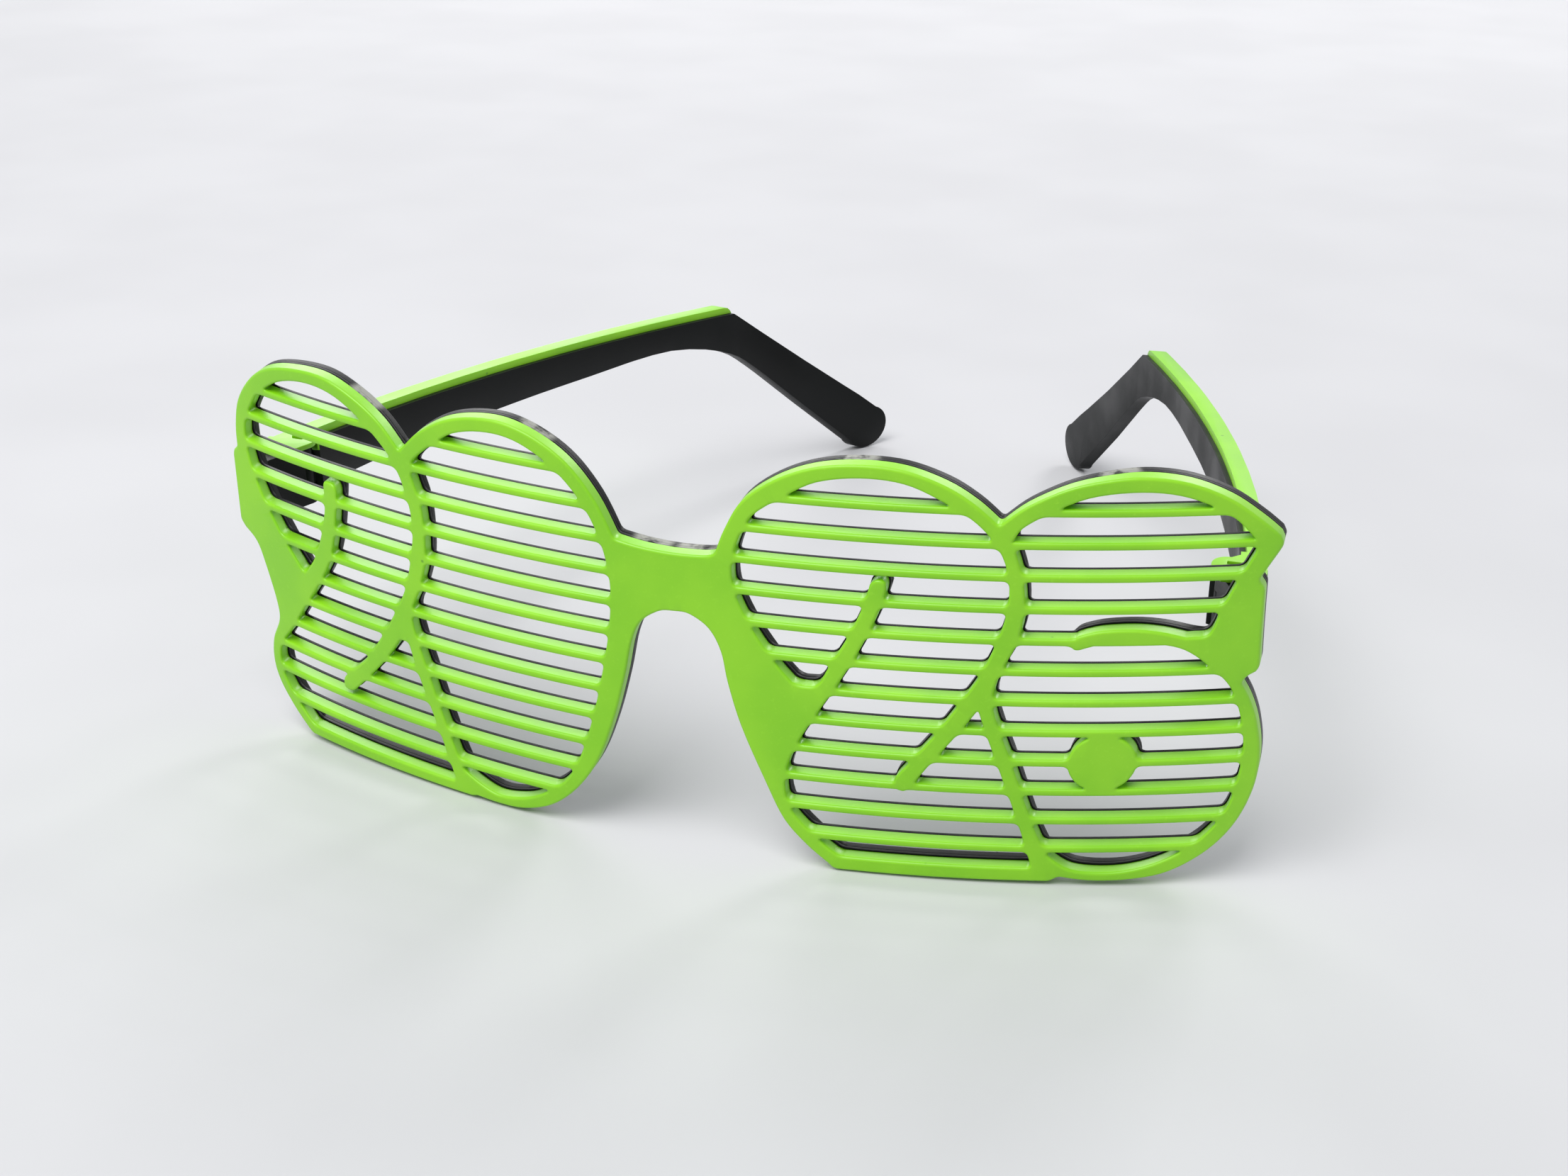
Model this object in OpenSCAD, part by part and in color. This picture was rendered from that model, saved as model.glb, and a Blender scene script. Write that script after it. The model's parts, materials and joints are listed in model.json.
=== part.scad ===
// Party glasses with a wrapped shutter front and two folding arms.
// The front is a green layer on a black layer, cut as the plain figures 20 and 26.
// Frame: X to the right as seen from the front, Y to the back, Z up, millimetres.
// The origin is on the table under the middle of the glasses as they stand open.
// Inside the modules the front's own frame is used: its origin is on the axis of the
// wrapped face, at the height that the slats are counted down from.

/* [Front] */
// Radius of the wrapped front face
front_r = 168; // [166:0.5:170]
// Thickness of the green layer
green_t = 1.8; // [1.5:0.1:2.1]
// Thickness of the black layer
black_t = 1.6; // [1.3:0.1:1.9]
// Height from one slat to the next
slat_pitch = 4.2; // [4.15:0.01:4.22]
// Height of a slat
slat_h = 1; // [0.8:0.1:1.3]
// Depth of the black strip behind each green slat
slat_back_t = 0.5; // [0.3:0.1:1]
// How far the black layer stands out inside the green openings
lip_w = 0.3; // [0.15:0.05:0.35]
// Radius of the round spot in the figure six
dot_r = 4; // [3.9:0.1:4.4]

/* [Arms] */
// Radius that the arms are bowed to
bow_r = 300; // [290:5:310]
// Thickness of an arm's green cover
cover_t = 2.4; // [2.2:0.1:2.6]
// Thickness of an arm's black core under the cover
core_t = 0.8; // [0.7:0.1:1]
// Thickness of the black hook
hook_t = 2; // [1.8:0.1:2.4]
// How far the cover stands above the core
cover_step = 1.1; // [0.9:0.1:1.3]
// Length of the straight part up to the bend over the ear
bend_s = 98.9; // [98:0.1:100]
// Fall of the arm's top edge for each millimetre of length
arm_slope = 0.112; // [0.108:0.002:0.116]
// Angle that the hook falls below the arm's length
hook_a = 38.5; // [37.5:0.5:39.5]
// Length of the hook from the bend to the centre of its tip
hook_len = 44.5; // [43.5:0.5:45.5]
// Radius of the hook's round tip
tip_r = 4; // [3.8:0.1:4.2]
// Inward turn of the left arm as the glasses stand
left_turn = 9.4; // [8:0.2:11]
// Inward turn of the right arm as the glasses stand
right_turn = 6; // [5.8:0.1:8]

/* [Hinges] */
// Sideways distance from the middle to a hinge pin
pin_x = 62.8; // [62.6:0.1:63]
// Radius of a hinge pin
pin_r = 0.6; // [0.5:0.05:0.7]
// Running clearance around the pin in the arm's knuckle
pin_clear = 0.06; // [0.04:0.01:0.08]
// Radius of the round black hinge ends
lug_r = 1.4; // [1.35:0.05:1.5]
// Radius of the round end of a green cap
cap_r = 2.05; // [1.95:0.05:2.15]
// Thickness of a green cap
cap_h = 0.7; // [0.6:0.05:0.9]
// How far a green cap reaches in front of the pin
cap_front = 3.5; // [3:0.1:4]
// Clearance around a round hinge end
lug_clear = 0.12; // [0.1:0.01:0.16]
// Distance from the pin to the arm's outer face
side_x = 4.7; // [4.6:0.1:4.8]
// Inward turn at which an arm's head meets its block
stop_turn = 5.5; // [5:0.1:5.7]
// Gap left between head and block at that turn
stop_gap = 0.06; // [0.04:0.01:0.1]
// Height of a lug on the block
lug_h = 2.75; // [2.6:0.05:2.85]
// Height of the arm's knuckle
knuckle_h = 2.8; // [2.6:0.05:3]
// Clearance above and below the knuckle
knuckle_clear = 0.1; // [0.06:0.02:0.14]

/* [Hidden] */
$fn = 96;
green = [0.55, 0.84, 0.18];
black = [0.1, 0.11, 0.11];
steel = [0.7, 0.72, 0.74];

slat_count = 12;
mid_r = front_r - green_t;
back_r = mid_r - black_t;
wrap_fn = 200;
sheet_reach = 40;
sheet_h = 70;
sheet_top = 6;
past = 1;

pin_y = -144.3;
arm_top = -16.6;
arm_joint_r = bow_r - cover_t;
arm_inner_r = arm_joint_r - core_t;
hook_outer_r = arm_inner_r + hook_t;
inner_x = side_x - cover_t - core_t;
cap_rise = 0.5;
block_top = arm_top + cap_rise - cap_h;
block_face = 0.15;
block_root = 1;
block_flare = 6.4;
block_depth = 12;
flare_a = 207;
gap_top = block_top - lug_h;
gap_h = knuckle_h + 2 * knuckle_clear;
block_bottom = gap_top - gap_h - lug_h;
pin_top = block_top - 0.4;
slot_in = 0.2;
slot_out = 2.4;
slot_near = 0.1;
slot_far = 0.9;
head_out = 1.2;
head_wall = 1.5;
head_len = 6;
head_x = 2;
head_y = 1.39;
room = 20;
side_h = 80;
tip_fall = 0.2;
hook_drop = 0.9;
hook_mid = -hook_drop - tip_fall - tip_r;
bend_gap = 0.1;
bend_blend = 2;
tip_blend = 6;
cover_end_s = 92;

stand_tilt = 3.47;
stand_x = -0.91;
stand_y = 90.36;
stand_z = 64.698;

// Sideways position of a point at arc length s along the wrapped face.
function px(s) = front_r * sin(s * 180 / (PI * front_r));

// Backward position of a point at length s along a bowed arm.
function ay(s) = block_face + bow_r * sin(s * 180 / (PI * bow_r));

// A point between the middle two of four points on a smooth curve.
function between(a, b, c, d, t) = 0.5 * (2 * b + (c - a) * t
    + (2 * a - 5 * b + 4 * c - d) * t * t + (3 * b - a - 3 * c + d) * t * t * t);

// A smooth run through open points, without its last point.
function run(p, n = 3) = [for (i = [0:len(p) - 2]) for (j = [0:n - 1])
    between(p[max(i - 1, 0)], p[i], p[i + 1], p[min(i + 2, len(p) - 1)], j / n)];

// The unit direction square to the way from a to b.
function square_to(a, b) = [b[1] - a[1], a[0] - b[0]] / max(norm(b - a), 0.001);

// A closed outline with every point moved sideways by g.
function moved(p, g) = [for (i = [0:len(p) - 1])
    p[i] + g * square_to(p[(i + len(p) - 1) % len(p)], p[(i + 1) % len(p)])];

// A closed outline laid on the wrapped face.
function laid(p) = [for (q = p) [px(q[0]), q[1]]];

// Right lens: the lobe over the 2, the lobe over the 6, and down to the tab.
right_lobes = concat(
    run([[5.4, -11.8], [6.6, -8.5], [8.8, -4.5], [12.6, -1.4], [17.1, 0.6], [22.2, 1.4],
        [27.5, 1.1], [32.4, -0.6], [36, -2.9], [38.7, -5.4]]),
    run([[38.7, -5.4], [41.7, -2.9], [46.3, -0.6], [50.9, 0.5], [55.2, 0.8], [60, 0],
        [64.8, -2.1], [68.8, -5], [71.5, -7.4]]),
    [[71.7, -8.2], [71.2, -9.2], [70.1, -11.1], [69.2, -12.7], [69.5, -13.3], [70, -14],
        [70.2, -20.1], [70.4, -24.5], [70, -25.1], [68.9, -25.7]]);

// Right lens: the bowl of the 6, the foot of the 2 and up its outer side.
right_feet = concat(
    run([[68.4, -26.6], [69.8, -29.2], [71, -32.7], [71.7, -37.1], [71.3, -41.9], [69.5, -46.7],
        [66.3, -50.6], [61.7, -53.5], [57, -54.5], [51.8, -54.6], [47.4, -53.9]]),
    [[47, -54.7], [20, -54.7]],
    run([[19.2, -53.9], [16.5, -51.5], [13.6, -48], [11.2, -42.6], [8.3, -35.2], [6.7, -29.3],
        [5.9, -25], [4.4, -22], [2, -20.4], [0.1, -20.3]]));

// Left lens: under the nose arch, down the 0 and along the foot of the 2.
left_feet = concat(
    run([[0.1, -20.3], [-1.8, -20.6], [-4.2, -22.4], [-5.6, -25.4], [-6.8, -30.9],
        [-8.7, -37.8], [-11.2, -44.2], [-14.5, -49.2], [-18.3, -52.6], [-22.6, -54.3],
        [-26.6, -54.6], [-30.3, -54.4]]),
    [[-30.7, -54.7], [-59.7, -54.7]],
    run([[-60.5, -54.1], [-63.1, -51.6], [-65.5, -48.4], [-66.4, -45.3], [-65.9, -41.7],
        [-64, -38], [-64, -35], [-65.4, -29.9], [-66.7, -26.8], [-69.1, -25.2]]));

// Left lens: up the tab, over the lobe of the 2 and the top of the 0 to the bridge.
left_lobes = concat(
    [[-69.7, -24.4], [-69.3, -14.7], [-69.1, -13.9]],
    run([[-68.2, -13.3], [-67.9, -10], [-66.6, -6.1], [-63.5, -2.4], [-59.6, 0], [-54.3, 1.2],
        [-49, 1.3], [-44.2, -0.3], [-40.3, -2.7], [-37.4, -5.9]]),
    run([[-37.4, -5.9], [-34.4, -2.9], [-30.4, -0.4], [-26.1, 0.9], [-21.5, 1.1], [-16.9, -0.3],
        [-12.9, -2.9], [-9.6, -7], [-7.3, -11.7]]),
    run([[-7.3, -11.7], [-4, -12.2], [0, -12.4], [3.9, -12.2], [5.4, -11.8]]));

// The opening of the right lens around the strokes inside the 2.
right_two = concat(
    run([[14.1, -3.2], [17.7, -1.2], [22.7, -0.3], [27.8, -0.7], [32.3, -2.7], [36.2, -5.3],
        [38.9, -8.7], [40.1, -12.6], [40, -16.8], [38.9, -21], [37.2, -25.3], [34.8, -29.5],
        [32.2, -33.7], [29.2, -37.9], [27.2, -40.6]]),
    [[27.4, -41.9], [28.5, -42.3], [29.3, -41.7]],
    run([[30.2, -40.3], [31.9, -37.8], [34.9, -33.6], [37.2, -30.1]]),
    run([[37.2, -30.1], [38.3, -33.5], [39.8, -37.8], [42.6, -46], [44.6, -52.7]]),
    run([[44.6, -52.7], [20.6, -52.7]], 1),
    run([[20.6, -52.7], [18, -50.5], [14.5, -46.4], [13.8, -42], [14.9, -37.8], [17, -33.6],
        [19.4, -29.4], [21.7, -25.2], [23.7, -21], [25.3, -16.8], [26.1, -13.9]]),
    [[25.8, -13.2], [24.5, -13.1], [24.1, -13.7]],
    run([[24, -13.9], [23.2, -16.9], [21.5, -21.1], [19.3, -25.3], [18.2, -27.7]]),
    [[17.6, -28.4], [15.5, -28.5]],
    run([[14.7, -28], [12.6, -25.5], [9.8, -21.2], [7.8, -16.6], [7.5, -13], [8.3, -9.6],
        [10.1, -6.2], [14.1, -3.2]]));

// The opening of the right lens around the wave inside the 6.
right_six = concat(
    run([[43.7, -4.1], [48.7, -1.8], [54.7, -1.1], [60.1, -1.9], [65.2, -4.4], [68.5, -7.8]]),
    run([[68.4, -9], [66.5, -12.9], [64.9, -16.6], [64.3, -18.7], [63.4, -20.2], [61.9, -20.2],
        [58.2, -19.2], [54.8, -18.8], [50.9, -19], [48, -19.8]]),
    [[47.4, -20.8], [48.3, -21.7]],
    run([[49.4, -21.3], [52.4, -20.6], [57.4, -20.8], [61.1, -21.7], [64.4, -24.2], [67, -27],
        [68.5, -30.6], [69.4, -35], [69.2, -40], [68, -44.9], [65.3, -48.7], [61.9, -51.2],
        [58, -52.8], [53.8, -53.4], [49.4, -52.9], [46.6, -51]]),
    run([[46.3, -50.6], [44.5, -46.4], [41.7, -38], [39, -29.8], [39.5, -25.3], [41.3, -21.1],
        [42.1, -16.8], [41.8, -12.6], [40.8, -9]]),
    run([[40.4, -7.3], [41.4, -5.7], [43.7, -4.1]]));

// The opening of the left lens around the strokes inside the 2.
left_two = concat(
    run([[-62.4, -4.2], [-57.7, -1.4], [-52.4, -0.3], [-47.3, -1], [-42.4, -3.9], [-38.7, -7.8],
        [-36.9, -12.6], [-36.6, -16.9], [-37.4, -21.1], [-38.7, -25.5], [-40.7, -29.6],
        [-39.8, -32]]),
    run([[-39.8, -32], [-39, -34.1], [-38, -37.9], [-35.2, -46.3], [-33.2, -53.1]]),
    run([[-33.2, -53.1], [-59.2, -53.1]], 1),
    run([[-59.2, -53.1], [-62.4, -49.8], [-64.5, -46.3], [-64.2, -42.2], [-61, -38.2],
        [-57.7, -33.8], [-54.5, -29.6], [-51.8, -25.4], [-50.3, -21.1], [-49.4, -16.9],
        [-48.9, -14.1]]),
    [[-49.4, -13.5], [-50.9, -13.4]],
    run([[-51.4, -13.9], [-51.5, -16.9], [-52.6, -21], [-54.6, -25.4], [-56.2, -27.6]]),
    [[-56.8, -28.3], [-57.4, -28.3]],
    run([[-57.8, -27.8], [-59.9, -25.3], [-62.8, -21.1], [-64.9, -16.8], [-65.9, -12.6],
        [-65.4, -8.6], [-62.4, -4.2]]));

// The lower stroke that crosses that opening.
left_stroke = concat(
    run([[-38.1, -24.2], [-41, -29.8], [-43.7, -34], [-46.9, -38.3], [-50.5, -41.7]]),
    [[-51.8, -42.9], [-51.9, -44.4], [-50.6, -44.7]],
    run([[-49.9, -44.3], [-47.8, -42.2], [-43.9, -38.1], [-40.7, -34], [-39.7, -32.1]]),
    [[-36, -28.2]]);

// The opening inside the 0.
left_zero = concat(
    run([[-32.9, -4.5], [-28.9, -1.8], [-23.9, -0.7], [-19.4, -1.3], [-14.9, -3.9],
        [-11.4, -7.8], [-9.2, -12.5], [-8.2, -17.9], [-8.6, -24], [-9.9, -31], [-11.6, -37.9],
        [-13.7, -44.1], [-16.1, -48.3], [-19.8, -51.3], [-22.9, -52.7], [-26.8, -53.2],
        [-30.5, -51.7]]),
    run([[-31.6, -51], [-33.1, -47.2], [-35.9, -38.1], [-38, -29.8], [-36.4, -25.3],
        [-35, -21.1], [-34.6, -16.8], [-34.8, -12.7], [-35.9, -8.7], [-35.5, -6.9],
        [-32.9, -4.5]]));

// Outer outline of both layers, drawn flat and laid on the wrapped face.
module outline() {
    polygon(laid(concat(right_lobes, right_feet, left_feet, left_lobes)));
}

// All four openings without their slats, made smaller by g on every side.
module openings(g) {
    difference() {
        union() {
            polygon(laid(moved(right_two, g)));
            polygon(laid(moved(right_six, g)));
            polygon(laid(moved(left_two, g)));
            polygon(laid(moved(left_zero, g)));
        }
        polygon(laid(moved(left_stroke, g)));
        translate([px(52.4), -37.3]) circle(r = dot_r + g);
    }
}

// The slats as bars across the whole front.
module slat_bars() {
    for (k = [1:slat_count])
        translate([-front_r / 2, -k * slat_pitch]) square([front_r, slat_h]);
}

// A flat shape cut straight back through the front.
module cut_back() {
    translate([0, sheet_reach - front_r, 0]) rotate([90, 0, 0])
        linear_extrude(sheet_reach + past) children();
}

// A ring with an upright axis, from bottom upward.
module ring(outer, inner, bottom, height, sides) {
    translate([0, 0, bottom]) difference() {
        cylinder(r = outer, h = height, $fn = sides);
        translate([0, 0, -past]) cylinder(r = inner, h = height + 2 * past, $fn = sides);
    }
}

// A wrapped sheet between two radii.
module sheet(outer, inner) {
    ring(outer, inner, sheet_top - sheet_h, sheet_h, wrap_fn);
}

module front_green_layer() color(green) intersection() {
    sheet(front_r, mid_r);
    cut_back() difference() {
        outline();
        difference() {
            openings(0);
            slat_bars();
        }
    }
}

module front_black_layer() color(black) {
    intersection() {
        sheet(mid_r, back_r);
        cut_back() difference() {
            outline();
            openings(lip_w);
        }
    }
    intersection() {
        sheet(mid_r, mid_r - slat_back_t);
        cut_back() intersection() {
            openings(0);
            slat_bars();
        }
    }
}

// A point at radius r in the direction square to the block's flared side.
function flared(r) = r * [cos(flare_a), sin(flare_a)];

// Plan of a block or cap whose round end has radius r, drawn around the hinge pin.
module block_plan(r) {
    root = [block_root, -block_flare] + flared(r - cap_r);
    circle(r = r);
    polygon([[0, 0], flared(r), root, [root[0], -block_depth], [side_x, -block_depth],
        [side_x, -block_face], [0, -block_face]]);
}

// Keeps only what lies behind the front's back face.
module behind_front() {
    intersection() {
        children();
        translate([-pin_x, -pin_y, -side_h]) cylinder(r = back_r, h = side_h, $fn = wrap_fn);
    }
}

// A round column about the hinge pin, from one height to another.
module column(r, bottom, top) {
    translate([0, 0, bottom]) cylinder(r = r, h = top - bottom);
}

module hinge_block() color(black) difference() {
    behind_front() translate([0, 0, block_bottom])
        linear_extrude(block_top - block_bottom) block_plan(lug_r);
    column(lug_r + lug_clear, gap_top - gap_h, gap_top);
    column(pin_r, block_bottom - past, pin_top);
}

module hinge_cap() color(green) difference() {
    translate([0, 0, block_top]) linear_extrude(cap_h) block_plan(cap_r);
    translate([-room, -cap_front - room, block_top - past])
        cube([2 * room, room, cap_h + 2 * past]);
    translate([-slot_in, slot_near, block_top - past])
        cube([slot_in + slot_out, slot_far - slot_near, cap_h + 2 * past]);
}

module hinge_pin() color(steel) column(pin_r, block_bottom, pin_top);

// Keeps only the part of a bowed arm between two radii.
module bowed(outer, inner) {
    intersection() {
        children();
        translate([side_x - bow_r, block_face, 0])
            ring(outer, inner, -side_h - room, side_h + room, wrap_fn);
    }
}

// A side view of an arm carried across its thickness.
module across() {
    translate([-side_h, 0, 0]) rotate([90, 0, 90]) linear_extrude(side_h + room) children();
}

// A point in the side view: length along the arm, and height.
function side(s, z) = [ay(s), z];

// A point of the arm's edge that lies drop below its top edge.
function top_edge(s, drop) = side(s, arm_top - arm_slope * max(s, 0) - drop);

// A point of the hook: along it from the bend, and square to it.
function hooked(l, w) = side(bend_s + l * cos(hook_a) + w * sin(hook_a),
    arm_top - arm_slope * bend_s - l * sin(hook_a) + w * cos(hook_a));

// The lower edge from the hook back to the hinge: length, and height from the hinge's top.
lower_edge = [[105.9, -25.6], [101.4, -21.7], [98, -19.4], [cover_end_s, -16.85], [84, -14.75],
    [75, -13.9], [65, -13.4], [55, -12.65], [45, -11.9], [30, -10.7], [15, -9.6], [0, -8.6]];

// The far corner of the cover: length from the bend, and drop from the top edge.
cover_corner = [[-1.4, 0], [-0.6, 0.15], [-0.1, 0.6], [0.2, cover_step]];

// The smooth lower edge from length last back to the hinge.
function lower_run(last) = [for (p = run(lower_edge, 2)) if (p[0] <= last)
    side(p[0], arm_top + p[1])];

// The lower corner of the head, from under the hinge pin to its front.
function head_start() = [for (s = [0, -head_out]) side(s, arm_top + lower_edge[len(lower_edge) - 1][1])];

// Side view of the green cover, with its far corner rounded.
module cover_side() {
    polygon(concat(head_start(), [top_edge(-head_out, 0), top_edge(0, 0)],
        [for (p = cover_corner) top_edge(bend_s + p[0], p[1])], lower_run(cover_end_s)));
}

// Side view of the black core with its hook.
module core_side() {
    polygon(concat(head_start(), [top_edge(-head_out, cover_step), top_edge(0, cover_step),
        top_edge(bend_s - bend_gap, cover_step), hooked(bend_blend, -hook_drop),
        hooked(hook_len - tip_blend, -hook_drop), hooked(hook_len, hook_mid + tip_r),
        hooked(hook_len, hook_mid - tip_r)], lower_run(hook_len + bend_s)));
    translate(hooked(hook_len, hook_mid)) circle(r = tip_r);
}

// Plan of the wide head at the front of an arm, up to the distance reach from the pin.
module head_plan(reach) {
    polygon([[-head_x, head_y], [0, 0], [side_x + past, -head_out], [side_x + past, reach],
        [side_x - cover_t, reach], [side_x - cover_t, head_len], [inner_x, head_len],
        [inner_x, head_y + head_x + inner_x]]);
}

// A piece of an arm cut to the plan of its head.
module at_head(reach) {
    bowed(bow_r, arm_inner_r - room) intersection() {
        across() children();
        translate([0, 0, -side_h]) linear_extrude(side_h) head_plan(reach);
    }
}

// The space that the block takes when the arm is opened to its stop.
module block_room() {
    rotate([0, 0, -stop_turn]) translate([-room, stop_gap - block_face - room, -side_h])
        cube([2 * room, room, side_h]);
}

module arm_core() color(black) difference() {
    union() {
        difference() {
            union() {
                bowed(arm_joint_r, arm_inner_r) across() core_side();
                at_head(head_wall) core_side();
            }
            block_room();
        }
        bowed(hook_outer_r, arm_inner_r) across() difference() {
            core_side();
            cover_side();
            translate([-room, -side_h]) square([ay(cover_end_s), side_h]);
        }
        column(lug_r, gap_top - gap_h + knuckle_clear, gap_top - knuckle_clear);
    }
    column(lug_r + lug_clear, gap_top - knuckle_clear, arm_top);
    column(cap_r + lug_clear, block_top - knuckle_clear, arm_top);
    column(lug_r + lug_clear, block_bottom - past, gap_top - gap_h + knuckle_clear);
    column(pin_r + pin_clear, block_bottom, block_top);
}

module arm_cover() color(green) difference() {
    union() {
        difference() {
            bowed(bow_r, arm_joint_r) across() cover_side();
            at_head(head_wall) core_side();
        }
        at_head(head_len) difference() {
            cover_side();
            core_side();
        }
    }
    column(cap_r + lug_clear, block_top - past, arm_top + past);
    block_room();
}

// Puts the front's own frame on the table.
module stand() {
    translate([stand_x, stand_y, stand_z]) rotate([stand_tilt, 0, 0]) children();
}

// Puts a right-hand piece at its hinge pin, turned inward.
module right_side(turn) {
    stand() translate([pin_x, pin_y, 0]) rotate([0, 0, turn]) children();
}

// Puts the mirrored piece at the left hinge pin, turned inward.
module left_side(turn) {
    stand() translate([-pin_x, pin_y, 0]) rotate([0, 0, -turn]) mirror([1, 0, 0]) children();
}

stand() front_green_layer();
stand() front_black_layer();
left_side(0) hinge_block();  // left_hinge_block
left_side(0) hinge_cap();  // left_hinge_cap
left_side(0) hinge_pin();  // left_hinge_pin
left_side(left_turn) arm_core();  // left_arm_core
left_side(left_turn) arm_cover();  // left_arm_cover
right_side(0) hinge_block();  // right_hinge_block
right_side(0) hinge_cap();  // right_hinge_cap
right_side(0) hinge_pin();  // right_hinge_pin
right_side(right_turn) arm_core();  // right_arm_core
right_side(right_turn) arm_cover();  // right_arm_cover
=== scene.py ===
"""Party glasses with a slatted green front on a black layer, and two bowed folding arms.

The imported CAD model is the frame. The front and the arms are rebuilt here with rounded
edges, fine surface detail and procedural finishes, in the same places and sizes.
"""

import json
import logging
import math
from dataclasses import dataclass, field
from enum import Enum
from functools import reduce
from typing import Any, Iterable, Sequence, Union

import bmesh
import bpy
import numpy as np
from mathutils import Matrix, Vector
from mathutils.geometry import delaunay_2d_cdt

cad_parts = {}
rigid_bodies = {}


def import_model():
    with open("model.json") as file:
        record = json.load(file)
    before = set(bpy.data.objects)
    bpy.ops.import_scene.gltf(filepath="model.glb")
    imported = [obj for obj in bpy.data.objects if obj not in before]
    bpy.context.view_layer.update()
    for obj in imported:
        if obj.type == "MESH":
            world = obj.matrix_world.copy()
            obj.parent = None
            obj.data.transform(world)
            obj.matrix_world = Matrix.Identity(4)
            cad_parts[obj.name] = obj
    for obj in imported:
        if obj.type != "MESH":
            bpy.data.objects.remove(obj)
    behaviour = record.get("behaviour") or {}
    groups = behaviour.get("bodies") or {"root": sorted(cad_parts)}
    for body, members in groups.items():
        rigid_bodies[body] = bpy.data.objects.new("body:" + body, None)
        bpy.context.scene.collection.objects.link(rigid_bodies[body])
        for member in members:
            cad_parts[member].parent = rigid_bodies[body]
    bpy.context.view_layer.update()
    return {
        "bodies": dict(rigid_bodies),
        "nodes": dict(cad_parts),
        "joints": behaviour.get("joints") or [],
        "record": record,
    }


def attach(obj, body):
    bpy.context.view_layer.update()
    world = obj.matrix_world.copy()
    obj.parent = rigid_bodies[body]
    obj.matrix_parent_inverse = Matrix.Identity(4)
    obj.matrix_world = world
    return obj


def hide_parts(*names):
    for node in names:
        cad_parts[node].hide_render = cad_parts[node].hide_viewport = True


log = logging.getLogger("party_glasses")

MM = 0.001
NOTHING = 1e-9
Point = tuple[float, float]
Loop = list[Point]


class Finish(Enum):
    """The finishes of the glasses, by the record's material slot."""

    GREEN = "green_plastic"
    BLACK = "black_plastic"
    STEEL = "pin_steel"


class Side(Enum):
    """Which arm a piece belongs to, and its sign along X."""

    LEFT = -1
    RIGHT = 1

    @property
    def word(self) -> str:
        """The side's name as the CAD nodes use it."""
        return self.name.lower()


# ---- shader nodes


class Value:
    """A number socket on which Python's operators add Math nodes."""

    def __init__(self, shader: "Shader", socket: Any) -> None:
        """Wrap a socket.

        Args:
            shader: The shader that owns the socket's node.
            socket: The output socket.
        """
        self.shader = shader
        self.socket = socket

    def _math(self, operation: str, a: Any, b: Any) -> "Value":
        """Add one Math node.

        Args:
            operation: The Math node's operation.
            a: The first input.
            b: The second input.

        Returns:
            The node's result.
        """
        socket = self.shader.node("ShaderNodeMath", {"operation": operation}, {0: a, 1: b})
        return Value(self.shader, socket)

    def __add__(self, other: Any) -> "Value":
        """Add."""
        return self._math("ADD", self, other)

    def __radd__(self, other: Any) -> "Value":
        """Add, the other way round."""
        return self._math("ADD", other, self)

    def __sub__(self, other: Any) -> "Value":
        """Subtract."""
        return self._math("SUBTRACT", self, other)

    def __rsub__(self, other: Any) -> "Value":
        """Subtract, the other way round."""
        return self._math("SUBTRACT", other, self)

    def __mul__(self, other: Any) -> "Value":
        """Multiply."""
        return self._math("MULTIPLY", self, other)

    def __rmul__(self, other: Any) -> "Value":
        """Multiply, the other way round."""
        return self._math("MULTIPLY", other, self)

    def above(self, limit: float) -> "Value":
        """1 where the value is over a limit, otherwise 0."""
        return self._math("GREATER_THAN", self, limit)

    def most(self, other: Any) -> "Value":
        """The larger of two values."""
        return self._math("MAXIMUM", self, other)

    def ramp(self, low: float, high: float, out_low: float = 0.0, out_high: float = 1.0) -> "Value":
        """Carry a range of the value smoothly to another range.

        Args:
            low: The value that gives out_low.
            high: The value that gives out_high.
            out_low: The lowest result.
            out_high: The highest result.

        Returns:
            The carried value.
        """
        settings = {"interpolation_type": "SMOOTHSTEP", "clamp": True}
        inputs = {"Value": self, "From Min": low, "From Max": high}
        inputs |= {"To Min": out_low, "To Max": out_high}
        socket = self.shader.node("ShaderNodeMapRange", settings, inputs, "Result")
        return Value(self.shader, socket)


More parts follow.
